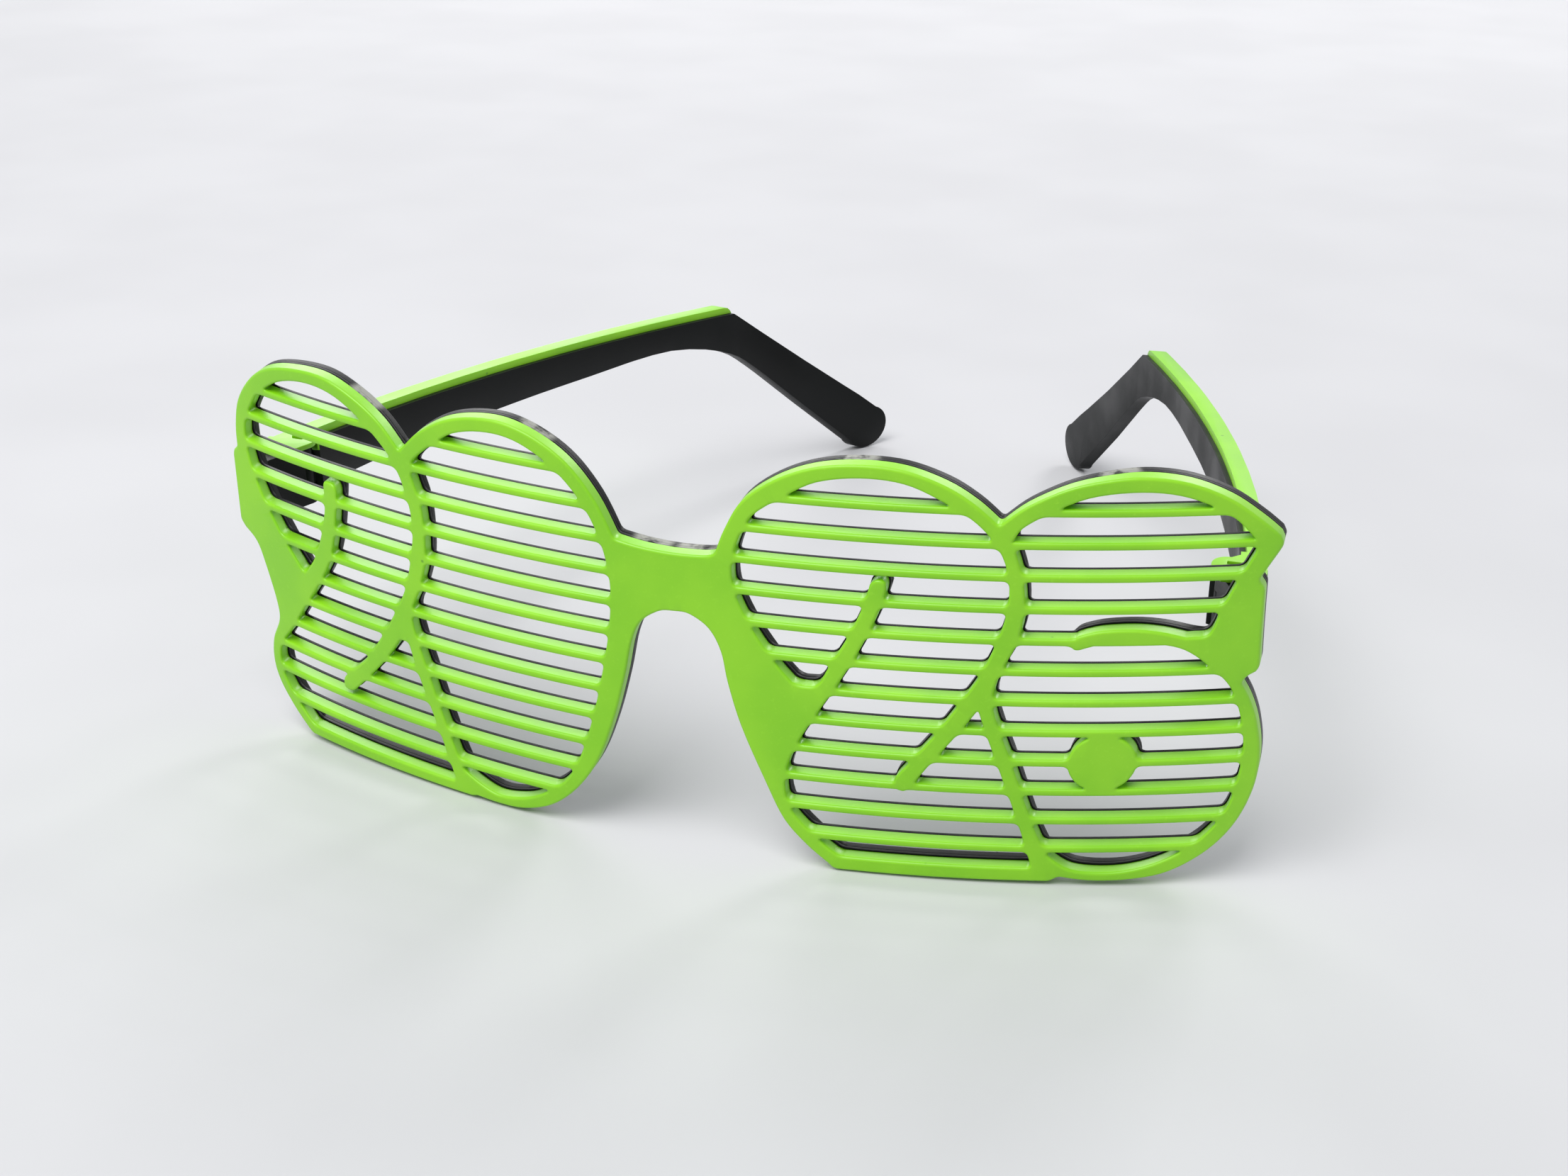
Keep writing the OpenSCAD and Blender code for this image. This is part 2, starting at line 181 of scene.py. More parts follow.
class Shader:
    """The node tree of a material or of the world, with one method that adds a node."""

    def __init__(self, owner: Union[bpy.types.Material, bpy.types.World]) -> None:
        """Start an empty node tree.

        Args:
            owner: The new material or world that the tree belongs to.
        """
        owner.use_nodes = True
        self.owner = owner
        self.tree = owner.node_tree
        self.tree.nodes.clear()

    @classmethod
    def material(cls, name: str) -> "Shader":
        """The empty tree of a new material."""
        return cls(bpy.data.materials.new(name))

    def node(
        self,
        kind: str,
        settings: dict[str, Any],
        inputs: dict[Union[str, int], Any],
        output: Union[str, int, None] = 0,
    ) -> Any:
        """Add a node, set it, and feed its sockets.

        Args:
            kind: The node's type.
            settings: Attributes of the node, set first.
            inputs: Values or links by socket name or number.
            output: The output to return, or None for the node itself.

        Returns:
            An output socket, or the node.
        """
        made = self.tree.nodes.new(kind)
        for key, value in settings.items():
            setattr(made, key, value)
        for key, value in inputs.items():
            socket = made.inputs[key]
            if isinstance(value, Value):
                self.tree.links.new(value.socket, socket)
            elif isinstance(value, bpy.types.NodeSocket):
                self.tree.links.new(value, socket)
            else:
                socket.default_value = value
        return made if output is None else made.outputs[output]

    def place(self) -> Any:
        """The object's own coordinates, in metres, as an output socket."""
        return self.node("ShaderNodeTexCoord", {}, {}, "Object")

    def stretched(self, scale: Sequence[float]) -> Any:
        """The object's coordinates, scaled.

        Args:
            scale: Factors along X, Y and Z.

        Returns:
            The scaled coordinates' socket.
        """
        inputs = {"Vector": self.place(), "Scale": tuple(scale)}
        return self.node("ShaderNodeMapping", {}, inputs, "Vector")

    def noise(self, size_mm: float, detail: float, rough: float, vector: Any = None) -> Value:
        """Soft noise.

        Args:
            size_mm: The size of its blobs.
            detail: How many finer layers it has.
            rough: The share of the finer layers.
            vector: Coordinates to use instead of the plain ones.

        Returns:
            The noise, from 0 to 1.
        """
        inputs = {
            "Vector": vector or self.place(),
            "Scale": 1.0 / (size_mm * MM),
            "Detail": detail,
            "Roughness": rough,
        }
        return Value(self, self.node("ShaderNodeTexNoise", {}, inputs))

    def spots(self, apart_mm: float) -> Value:
        """The distance from scattered points, in shares of their spacing."""
        inputs = {"Vector": self.place(), "Scale": 1.0 / (apart_mm * MM)}
        return Value(self, self.node("ShaderNodeTexVoronoi", {"feature": "F1"}, inputs, "Distance"))

    def mix(self, mask: Value, low: Any, high: Any) -> Any:
        """Mix two colours.

        Args:
            mask: 0 gives low and 1 gives high.
            low: A colour of four numbers or a link.
            high: A colour of four numbers or a link.

        Returns:
            The mixed colour's socket.
        """
        settings = {"data_type": "RGBA", "clamp_factor": True}
        factor, first, second, result = 0, 6, 7, 2
        inputs = {factor: mask, first: low, second: high}
        return self.node("ShaderNodeMix", settings, inputs, result)

    def bump(self, height: Value, depth_mm: float) -> Any:
        """Raise a surface by a height map.

        Args:
            height: The map, from 0 to 1.
            depth_mm: The height that 1 stands for.

        Returns:
            The normal's socket.
        """
        inputs = {"Height": height, "Strength": 1.0, "Distance": depth_mm * MM}
        return self.node("ShaderNodeBump", {}, inputs, "Normal")

    def surface(
        self, colour: Any, roughness: Any, normal: Any = None, **sockets: float
    ) -> bpy.types.Material:
        """Close the tree with one Principled shader.

        Args:
            colour: The base colour.
            roughness: The roughness.
            normal: The normal, if it varies.
            **sockets: Plain numbers for other sockets, named with underscores.

        Returns:
            The finished material.
        """
        inputs: dict[Union[str, int], Any] = {"Base Color": colour, "Roughness": roughness}
        if normal is not None:
            inputs["Normal"] = normal
        for key, value in sockets.items():
            inputs[key.replace("_", " ")] = value
        shader = self.node("ShaderNodeBsdfPrincipled", {}, inputs, "BSDF")
        self.node("ShaderNodeOutputMaterial", {}, {"Surface": shader}, None)
        return self.owner


# ---- finishes


def rgb(red: int, green: int, blue: int) -> tuple[float, float, float, float]:
    """A screen colour as the linear colour that shaders use.

    Args:
        red: The red channel, 0 to 255.
        green: The green channel, 0 to 255.
        blue: The blue channel, 0 to 255.

    Returns:
        The linear colour and its alpha of 1.
    """

    def linear(level: int) -> float:
        """One channel, without the screen's curve."""
        share = level / 255
        return share / 12.92 if share <= 0.04045 else ((share + 0.055) / 1.055) ** 2.4

    return (linear(red), linear(green), linear(blue), 1.0)


@dataclass(frozen=True)
class GreenPlastic:
    """Fluorescent green moulded plastic with a fine grain and a few pits with painted shade, in
    millimetres.
    """

    plain: tuple[int, int, int] = (144, 214, 30)
    deep: tuple[int, int, int] = (132, 205, 22)
    pale: tuple[int, int, int] = (162, 226, 52)
    pit: tuple[int, int, int] = (74, 140, 22)
    roughness: float = 0.36
    cloud_size: float = 16.0
    grain_size: float = 0.55
    flow_scale: tuple[float, float, float] = (120.0, 120.0, 1400.0)
    pits_apart: float = 8.0
    pit_share: float = 0.045
    pale_share: float = 0.35
    relief: float = 0.012

    def build(self) -> bpy.types.Material:
        """Make the material.

        Returns:
            The material.
        """
        shader = Shader.material(Finish.GREEN.value + "_look")
        cloud = shader.noise(self.cloud_size, 3.0, 0.55)
        grain = shader.noise(self.grain_size, 4.0, 0.6)
        flow = shader.noise(1.0, 2.0, 0.5, shader.stretched(self.flow_scale))
        shaded_pits = shader.spots(self.pits_apart).ramp(0.0, self.pit_share, 1.0, 0.0)
        colour = shader.mix(cloud.ramp(0.35, 0.65), rgb(*self.deep), rgb(*self.plain))
        colour = shader.mix(grain.ramp(0.55, 0.8) * self.pale_share, colour, rgb(*self.pale))
        # painted shade: the pits are coloured darker, as well as sunk by the bump
        colour = shader.mix(shaded_pits, colour, rgb(*self.pit))
        sheen = cloud.ramp(0.3, 0.7, self.roughness - 0.05, self.roughness + 0.06)
        normal = shader.bump(grain * 0.55 + flow * 0.25 - shaded_pits * 2.5, self.relief)
        return shader.surface(colour, sheen + grain * 0.06, normal, IOR=1.5)


@dataclass(frozen=True)
class BlackPlastic:
    """Black satin plastic with dust, scuffs and painted glints, in millimetres.

    A painted glint is a pale highlight painted on the rim's lobe and bridge tops, placed by an arc
    length along the face and a height.
    """

    plain: tuple[int, int, int] = (11, 14, 14)
    deep: tuple[int, int, int] = (6, 8, 8)
    dust: tuple[int, int, int] = (120, 124, 120)
    # painted highlight: the pale colour and the places of glints where the lamps catch the rim's
    # tops
    worn: tuple[int, int, int] = (150, 150, 142)
    worn_at: tuple[Point, ...] = (
        (51.5, 1.2), (22, 2.0), (2.5, -12.0), (-3, -12.0), (-17.5, 0.7), (-43, -0.3),
    )
    worn_depth: float = 2.6
    worn_reach: float = 3.0
    worn_core: float = 1.8
    patch_size: float = 2.0
    roughness: float = 0.4
    cloud_size: float = 11.0
    grain_size: float = 0.5
    scuff_scale: tuple[float, float, float] = (260.0, 90.0, 700.0)
    dust_apart: float = 2.6
    dust_share: float = 0.05
    relief: float = 0.014
    gloss: float = 0.16

    def build(self) -> bpy.types.Material:
        """Make the material.

        Returns:
            The material.
        """
        shader = Shader.material(Finish.BLACK.value + "_look")
        cloud = shader.noise(self.cloud_size, 3.0, 0.5)
        grain = shader.noise(self.grain_size, 4.0, 0.6)
        scuff = shader.noise(1.0, 3.0, 0.6, shader.stretched(self.scuff_scale))
        specks = shader.spots(self.dust_apart).ramp(0.0, self.dust_share, 1.0, 0.0)
        specks = specks * cloud.above(0.53)
        colour = shader.mix(cloud.ramp(0.3, 0.7), rgb(*self.deep), rgb(*self.plain))
        colour = shader.mix(specks * 0.5, colour, rgb(*self.dust))
        # painted highlight: pale glints mixed into the black near the listed tops, broken into
        # patches by noise
        glint_patches = shader.noise(self.patch_size, 3.0, 0.55).ramp(0.36, 0.56)
        colour = shader.mix(self._near_worn(shader) * glint_patches, colour, rgb(*self.worn))
        sheen = cloud.ramp(0.3, 0.7, self.roughness - 0.06, self.roughness + 0.08)
        roughness = sheen + scuff.ramp(0.6, 0.8) * 0.1
        normal = shader.bump(grain * 0.6 + scuff * 0.4 + specks * 0.8, self.relief)
        return shader.surface(colour, roughness, normal, IOR=1.5, Specular_IOR_Level=self.gloss)

    def _near_worn(self, shader: Shader) -> Value:
        """How near a point of the rim is to one of its painted glints.

        Args:
            shader: The material's shader.

        Returns:
            The nearness, from 0 to 1.
        """
        middle = FrontShape.face_radius - self.worn_depth
        spots = []
        for s, z in self.worn_at:
            x = FrontShape().across(s)
            place = Stand().matrix() @ Vector((x, -math.sqrt(middle**2 - x**2), z))
            inputs = {0: shader.place(), 1: tuple(place)}
            socket = shader.node("ShaderNodeVectorMath", {"operation": "DISTANCE"}, inputs, "Value")
            away = Value(shader, socket)
            spots.append(away.ramp(self.worn_core * MM, self.worn_reach * MM, 1.0, 0.0))
        return reduce(Value.most, spots)


@dataclass(frozen=True)
class PinSteel:
    """Plain drawn steel wire."""

    plain: tuple[int, int, int] = (176, 178, 180)
    deep: tuple[int, int, int] = (150, 152, 154)
    roughness: float = 0.3
    streak_scale: tuple[float, float, float] = (3000.0, 3000.0, 200.0)

    def build(self) -> bpy.types.Material:
        """Make the material.

        Returns:
            The material.
        """
        shader = Shader.material(Finish.STEEL.value + "_look")
        streak = shader.noise(1.0, 2.0, 0.5, shader.stretched(self.streak_scale))
        colour = shader.mix(streak.ramp(0.3, 0.7), rgb(*self.deep), rgb(*self.plain))
        roughness = streak.ramp(0.2, 0.8, self.roughness - 0.08, self.roughness + 0.1)
        return shader.surface(colour, roughness, Metallic=1.0)


@dataclass(frozen=True)
class PaleFloor:
    """A plain pale table, with a slight mottle."""

    plain: tuple[int, int, int] = (206, 205, 207)
    deep: tuple[int, int, int] = (202, 201, 203)
    roughness: float = 0.85
    cloud_size: float = 60.0

    def build(self) -> bpy.types.Material:
        """Make the material.

        Returns:
            The material.
        """
        shader = Shader.material("pale_floor_look")
        cloud = shader.noise(self.cloud_size, 2.0, 0.5)
        colour = shader.mix(cloud.ramp(0.3, 0.7), rgb(*self.deep), rgb(*self.plain))
        return shader.surface(colour, self.roughness, IOR=1.4)


class Finishes:
    """The materials, each made once."""

    def __init__(self) -> None:
        """Build every finish."""
        self.made: dict[Finish, bpy.types.Material] = {
            Finish.GREEN: GreenPlastic().build(),
            Finish.BLACK: BlackPlastic().build(),
            Finish.STEEL: PinSteel().build(),
        }

    def dress(self, piece: bpy.types.Object, finish: Finish) -> None:
        """Give a piece one finish over all its material slots.

        Args:
            piece: The object.
            finish: Its finish.
        """
        if not piece.material_slots:
            piece.data.materials.append(None)
        for holder in piece.material_slots:
            holder.material = self.made[finish]


def shown(name: str, data: Any) -> bpy.types.Object:
    """A new object in the scene, which shows a mesh, a lamp or a camera.

    Args:
        name: Its name.
        data: What it shows.

    Returns:
        The object.
    """
    made = bpy.data.objects.new(name, data)
    bpy.context.scene.collection.objects.link(made)
    return made


# ---- flat geometry


def smooth_run(points: Sequence[Point], steps: int = 5) -> Loop:
    """A smooth way through open points, without its last point.

    Args:
        points: The points to pass through.
        steps: Pieces between two points.

    Returns:
        The way's points.
    """
    p = [np.array(q, float) for q in points]
    way: Loop = []
    for i in range(len(p) - 1):
        a, b, c, d = p[max(i - 1, 0)], p[i], p[i + 1], p[min(i + 2, len(p) - 1)]
        for j in range(steps):
            t = j / steps
            square, cube = 2 * a - 5 * b + 4 * c - d, 3 * b - a - 3 * c + d
            q = 0.5 * (2 * b + (c - a) * t + square * t**2 + cube * t**3)
            way.append((float(q[0]), float(q[1])))
    return way


def moved(loop: Sequence[Point], by: float, mitre_limit: float = 0.6) -> Loop:
    """A closed loop with every point moved to its right-hand side.

    Args:
        loop: The loop.
        by: The distance; a clockwise loop shrinks and the other way round it grows.
        mitre_limit: The least divisor of a corner's move, so that no corner runs far out.

    Returns:
        The moved loop.
    """

    def right_of(edges: np.ndarray) -> np.ndarray:
        """The unit vectors to the right of edges."""
        lengths = np.maximum(np.linalg.norm(edges, axis=1), NOTHING)
        return np.stack([edges[:, 1], -edges[:, 0]], 1) / lengths[:, None]

    p = np.array(loop, float)
    right_before, right_after = right_of(p - np.roll(p, 1, 0)), right_of(np.roll(p, -1, 0) - p)
    mitre = right_before + right_after
    mitre /= np.maximum((mitre * right_before).sum(1), mitre_limit)[:, None]
    return [tuple(q) for q in p + by * mitre]


def signed_area(loop: Sequence[Point]) -> float:
    """A closed loop's area.

    Args:
        loop: The loop.

    Returns:
        The area, positive where the loop runs anticlockwise.
    """
    p = np.array(loop, float)
    q = np.roll(p, -1, 0)
    return float((p[:, 0] * q[:, 1] - q[:, 0] * p[:, 1]).sum() / 2)


def keep_below(loop: Sequence[Point], height: float, sign: int = 1) -> list[Loop]:
    """Cut a closed loop by a level line and keep what lies on one side.

    Args:
        loop: The loop, which may bend in and out.
        height: The line's height.
        sign: 1 keeps what is below, -1 what is above.

    Returns:
        The pieces that are left.
    """

    def crossing(i: int) -> Point:
        """Where the edge that ends at a point meets the line."""
        (x0, z0), (x1, z1) = loop[i - 1], loop[i]
        return (x0 + (x1 - x0) * (height - z0) / (z1 - z0), height)

    inside = [sign * (height - z) > 0 for _, z in loop]
    if all(inside):
        return [list(loop)]
    if not any(inside):
        return []
    chains: list[Loop] = []
    start = next(i for i in range(len(loop)) if inside[i] and not inside[i - 1])
    current: Loop = []
    for step in range(len(loop)):
        i = (start + step) % len(loop)
        if inside[i] and not inside[i - 1]:
            current = [crossing(i)]
        elif inside[i - 1] and not inside[i]:
            chains.append(current + [crossing(i)])
        if inside[i]:
            current.append(loop[i])
    ends = sorted((c[-end][0], k, end) for k, c in enumerate(chains) for end in (0, 1))
    partner: dict[tuple[int, int], tuple[int, int]] = {}
    for first, second in zip(ends[::2], ends[1::2]):
        partner[first[1:]] = second[1:]
        partner[second[1:]] = first[1:]
    left, pieces = set(range(len(chains))), []
    while left:
        k = first_chain = left.pop()
        piece = list(chains[k])
        while True:
            k, end = partner[(k, 1)]
            if k == first_chain:
                break
            left.discard(k)
            piece += chains[k] if end == 0 else chains[k][::-1]
        pieces.append(piece)
    return pieces


def without_repeats(loop: Sequence[Point], near: float = 0.02) -> Loop:
    """A closed loop without points that lie on the one before.

    Args:
        loop: The loop.
        near: The distance up to which two points count as one.

    Returns:
        The thinned loop.
    """
    kept: Loop = []
    for q in loop:
        if not kept or math.dist(q, kept[-1]) > near:
            kept.append(q)
    while len(kept) > 1 and math.dist(kept[0], kept[-1]) <= near:
        kept.pop()
    return kept


def rounded(
    loop: Sequence[Point],
    radius: float,
    steps: int = 5,
    least_turn: float = 24.0,
    most_share: float = 0.48,
) -> Loop:
    """A closed loop with its sharp corners rounded.

    Args:
        loop: The loop.
        radius: The reach of the rounding from a corner.
        steps: Pieces in a rounded corner.
        least_turn: The turn in degrees from which a corner counts as sharp.
        most_share: The share of the way to the next corner that a rounding may take.

    Returns:
        The rounded loop.
    """
    p = [np.array(q, float) for q in without_repeats(loop)]
    n = len(p)

    def turn(i: int) -> float:
        """The turn at a point, in degrees."""
        a, b = p[i] - p[i - 1], p[(i + 1) % n] - p[i]
        return abs(math.degrees(math.atan2(a[0] * b[1] - a[1] * b[0], float(a @ b))))

    sharp = [turn(i) > least_turn for i in range(n)]

    def walk(i: int, way: int, reach: float) -> tuple[np.ndarray, int]:
        """Go along the loop from a corner.

        Args:
            i: The corner's number.
            way: 1 forwards or -1 backwards.
            reach: How far to go.

        Returns:
            The place reached, and how many points were passed.
        """
        free, ahead = 0.0, 0
        while free * most_share < reach and not (ahead and sharp[(i + way * ahead) % n]):
            ahead += 1
            free += math.dist(p[(i + way * ahead) % n], p[(i + way * (ahead - 1)) % n])
        passed, here, left = 0, p[i], min(reach, most_share * free)
        while True:
            following = p[(i + way * (passed + 1)) % n]
            length = math.dist(following, here)
            if length >= left:
                return here + (following - here) * left / max(length, NOTHING), passed
            left, here, passed = left - length, following, passed + 1

    dropped: set[int] = set()
    arcs: dict[int, Loop] = {}
    for i in range(n):
        if sharp[i]:
            before, back = walk(i, -1, radius)
            after, ahead = walk(i, 1, radius)
            dropped |= {k % n for k in range(i - back, i + ahead + 1) if k != i}
            arcs[i] = [
                tuple((1 - t) ** 2 * before + 2 * t * (1 - t) * p[i] + t**2 * after)
                for t in np.linspace(0, 1, steps + 1)
            ]
    out: Loop = []
    for i in range(n):
        if i in arcs:
            out += arcs[i]
        elif i not in dropped:
            out.append(tuple(p[i]))
    return without_repeats(out, 0.03)


def divided(loop: Sequence[Point], longest: float) -> Loop:
    """A closed loop whose long edges are divided.

    Args:
        loop: The loop.
        longest: The greatest length of an edge that stays whole.

    Returns:
        The divided loop.
    """
    out: Loop = []
    for (x0, z0), (x1, z1) in zip(loop, [*loop[1:], loop[0]]):
        parts = max(1, math.ceil(math.dist((x0, z0), (x1, z1)) / longest))
        out += [(x0 + (x1 - x0) * k / parts, z0 + (z1 - z0) * k / parts) for k in range(parts)]
    return out


def odd_inside(points: np.ndarray, loops: Iterable[Sequence[Point]]) -> np.ndarray:
    """Which points lie inside an odd number of loops.

    Args:
        points: The points, one to a row.
        loops: Closed loops.

    Returns:
        True for each point that does.
    """
    inside = np.zeros(len(points), bool)
    for loop in loops:
        p = np.array(loop, float)
        q = np.roll(p, -1, 0)
        low, high = p.min(0), p.max(0)
        near = np.flatnonzero(((points >= low) & (points <= high)).all(1))
        x, z = points[near, 0][:, None], points[near, 1][:, None]
        cross = (p[:, 1] > z) != (q[:, 1] > z)
        rise = np.where(q[:, 1] == p[:, 1], NOTHING, q[:, 1] - p[:, 1])
        meets = p[:, 0] + (z - p[:, 1]) / rise * (q[:, 0] - p[:, 0])
        inside[near] ^= (cross & (x < meets)).sum(1) % 2 == 1
    return inside


# ---- the stand


@dataclass(frozen=True)
class Stand:
    """How the front's own frame stands on the table, in millimetres and degrees."""

    tilt: float = 3.47
    shift: tuple[float, float, float] = (-0.91, 90.36, 64.698)

    def matrix(self) -> Matrix:
        """The front's frame in millimetres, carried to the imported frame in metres."""
        lean = Matrix.Rotation(math.radians(self.tilt), 4, "X")
        return Matrix.Scale(MM, 4) @ Matrix.Translation(self.shift) @ lean


# ---- the front


@dataclass
class FrontShape:
    """The flat outlines of the front: millimetres along the wrapped face, and heights.

    Each slat's lower edge lies a whole number of pitches below the height 0. Slots with less
    area than least_slot are left out, and those with less than small_slot have tighter corners.
    """

    face_radius: float = 168.0
    slat_pitch: float = 4.2
    slat_height: float = 1.0
    slat_count: int = 12
    top: float = 10.0
    bottom: float = -60.0
    dot_place: Point = (52.4, -37.3)
    dot_radius: float = 4.0
    dot_steps: int = 48
    slit: float = 0.01
    least_slot: float = 0.6
    small_slot: float = 10.0
    small_corner: float = 0.6

    def across(self, s: float) -> float:
        """The sideways place of a point at arc length s."""
        return self.face_radius * math.sin(s / self.face_radius)

    def laid(self, loop: Sequence[Point]) -> Loop:
        """A flat loop laid on the wrapped face, seen straight from the front."""
        return [(self.across(s), z) for s, z in loop]

    def outline(self) -> Loop:
        """The outer outline of both lenses and the bridge, clockwise."""
        lobes_right = (
            smooth_run([(5.4, -11.8), (6.6, -8.5), (8.8, -4.5), (12.6, -1.4), (17.1, 0.6),
                        (22.2, 1.4), (27.5, 1.1), (32.4, -0.6), (36, -2.9), (38.7, -5.4)])
            + smooth_run([(38.7, -5.4), (41.7, -2.9), (46.3, -0.6), (50.9, 0.5), (55.2, 0.8),
                          (60, 0), (64.8, -2.1), (68.8, -5), (71.5, -7.4)])
            + [(71.7, -8.2), (71.2, -9.2), (70.1, -11.1), (69.2, -12.7), (69.5, -13.3), (70, -14),
               (70.2, -20.1), (70.4, -24.5), (70, -25.1), (68.9, -25.7)]
        )
        feet_right = (
            smooth_run([(68.4, -26.6), (69.8, -29.2), (71, -32.7), (71.7, -37.1), (71.3, -41.9),
                        (69.5, -46.7), (66.3, -50.6), (61.7, -53.5), (57, -54.5), (51.8, -54.6),
                        (47.4, -53.9)])
            + [(47, -54.7), (20, -54.7)]
            + smooth_run([(19.2, -53.9), (16.5, -51.5), (13.6, -48), (11.2, -42.6), (8.3, -35.2),
                          (6.7, -29.3), (5.9, -25), (4.4, -22), (2, -20.4), (0.1, -20.3)])
        )
        feet_left = (
            smooth_run([(0.1, -20.3), (-1.8, -20.6), (-4.2, -22.4), (-5.6, -25.4), (-6.8, -30.9),
                        (-8.7, -37.8), (-11.2, -44.2), (-14.5, -49.2), (-18.3, -52.6),
                        (-22.6, -54.3), (-26.6, -54.6), (-30.3, -54.4)])
            + [(-30.7, -54.7), (-59.7, -54.7)]
            + smooth_run([(-60.5, -54.1), (-63.1, -51.6), (-65.5, -48.4), (-66.4, -45.3),
                          (-65.9, -41.7), (-64, -38), (-64, -35), (-65.4, -29.9), (-66.7, -26.8),
                          (-69.1, -25.2)])
        )
        lobes_left = (
            [(-69.7, -24.4), (-69.3, -14.7), (-69.1, -13.9)]
            + smooth_run([(-68.2, -13.3), (-67.9, -10), (-66.6, -6.1), (-63.5, -2.4), (-59.6, 0),
                          (-54.3, 1.2), (-49, 1.3), (-44.2, -0.3), (-40.3, -2.7), (-37.4, -5.9)])
            + smooth_run([(-37.4, -5.9), (-34.4, -2.9), (-30.4, -0.4), (-26.1, 0.9),
                          (-21.5, 1.1), (-16.9, -0.3), (-12.9, -2.9), (-9.6, -7), (-7.3, -11.7)])
            + smooth_run([(-7.3, -11.7), (-4, -12.2), (0, -12.4), (3.9, -12.2), (5.4, -11.8)])
        )
        return lobes_right + feet_right + feet_left + lobes_left

    def right_two(self) -> Loop:
        """The right lens's opening around the strokes inside the 2, clockwise."""
        return (
            smooth_run([(14.1, -3.2), (17.7, -1.2), (22.7, -0.3), (27.8, -0.7), (32.3, -2.7),
                        (36.2, -5.3), (38.9, -8.7), (40.1, -12.6), (40, -16.8), (38.9, -21),
                        (37.2, -25.3), (34.8, -29.5), (32.2, -33.7), (29.2, -37.9), (27.2, -40.6)])
            + [(27.4, -41.9), (28.5, -42.3), (29.3, -41.7)]
            + smooth_run([(30.2, -40.3), (31.9, -37.8), (34.9, -33.6), (37.2, -30.1)])
            + smooth_run([(37.2, -30.1), (38.3, -33.5), (39.8, -37.8), (42.6, -46), (44.6, -52.7)])
            + [(44.6, -52.7)]
            + smooth_run([(20.6, -52.7), (18, -50.5), (14.5, -46.4), (13.8, -42), (14.9, -37.8),
                          (17, -33.6), (19.4, -29.4), (21.7, -25.2), (23.7, -21), (25.3, -16.8),
                          (26.1, -13.9)])
            + [(25.8, -13.2), (24.5, -13.1), (24.1, -13.7)]
            + smooth_run([(24, -13.9), (23.2, -16.9), (21.5, -21.1), (19.3, -25.3), (18.2, -27.7)])
            + [(17.6, -28.4), (15.5, -28.5)]
            + smooth_run([(14.7, -28), (12.6, -25.5), (9.8, -21.2), (7.8, -16.6), (7.5, -13),
                          (8.3, -9.6), (10.1, -6.2), (14.1, -3.2)])
        )

    def right_six(self) -> Loop:
        """The right lens's opening around the wave inside the 6, clockwise."""
        return (
            smooth_run([(43.7, -4.1), (48.7, -1.8), (54.7, -1.1), (60.1, -1.9), (65.2, -4.4),
                        (68.5, -7.8)])
            + smooth_run([(68.4, -9), (66.5, -12.9), (64.9, -16.6), (64.3, -18.7), (63.4, -20.2),
                          (61.9, -20.2), (58.2, -19.2), (54.8, -18.8), (50.9, -19), (48, -19.8)])
            + [(47.4, -20.8), (48.3, -21.7)]
            + smooth_run([(49.4, -21.3), (52.4, -20.6), (57.4, -20.8), (61.1, -21.7),
                          (64.4, -24.2), (67, -27), (68.5, -30.6), (69.4, -35), (69.2, -40),
                          (68, -44.9), (65.3, -48.7), (61.9, -51.2), (58, -52.8), (53.8, -53.4),
                          (49.4, -52.9), (46.6, -51)])
            + smooth_run([(46.3, -50.6), (44.5, -46.4), (41.7, -38), (39, -29.8), (39.5, -25.3),
                          (41.3, -21.1), (42.1, -16.8), (41.8, -12.6), (40.8, -9)])
            + smooth_run([(40.4, -7.3), (41.4, -5.7), (43.7, -4.1)])
        )

    def left_two(self) -> Loop:
        """The left lens's opening around the strokes inside the 2, clockwise."""
        return (
            smooth_run([(-62.4, -4.2), (-57.7, -1.4), (-52.4, -0.3), (-47.3, -1), (-42.4, -3.9),
                        (-38.7, -7.8), (-36.9, -12.6), (-36.6, -16.9), (-37.4, -21.1),
                        (-38.7, -25.5), (-41, -29.8), (-43.7, -34), (-46.9, -38.3),
                        (-50.5, -41.7)])
            + [(-51.8, -42.9), (-51.9, -44.4), (-50.6, -44.7)]
            + smooth_run([(-49.9, -44.3), (-47.8, -42.2), (-43.9, -38.1), (-40.7, -34),
                          (-39.8, -32)])
            + smooth_run([(-39.8, -32), (-39, -34.1), (-38, -37.9), (-35.2, -46.3),
                          (-33.2, -53.1)])
            + [(-33.2, -53.1)]
            + smooth_run([(-59.2, -53.1), (-62.4, -49.8), (-64.5, -46.3), (-64.2, -42.2),
                          (-61, -38.2), (-57.7, -33.8), (-54.5, -29.6), (-51.8, -25.4),
                          (-50.3, -21.1), (-49.4, -16.9), (-48.9, -14.1)])
            + [(-49.4, -13.5), (-50.9, -13.4)]
            + smooth_run([(-51.4, -13.9), (-51.5, -16.9), (-52.6, -21), (-54.6, -25.4),
                          (-56.2, -27.6)])
            + [(-56.8, -28.3), (-57.4, -28.3)]
            + smooth_run([(-57.8, -27.8), (-59.9, -25.3), (-62.8, -21.1), (-64.9, -16.8),
                          (-65.9, -12.6), (-65.4, -8.6), (-62.4, -4.2)])
        )

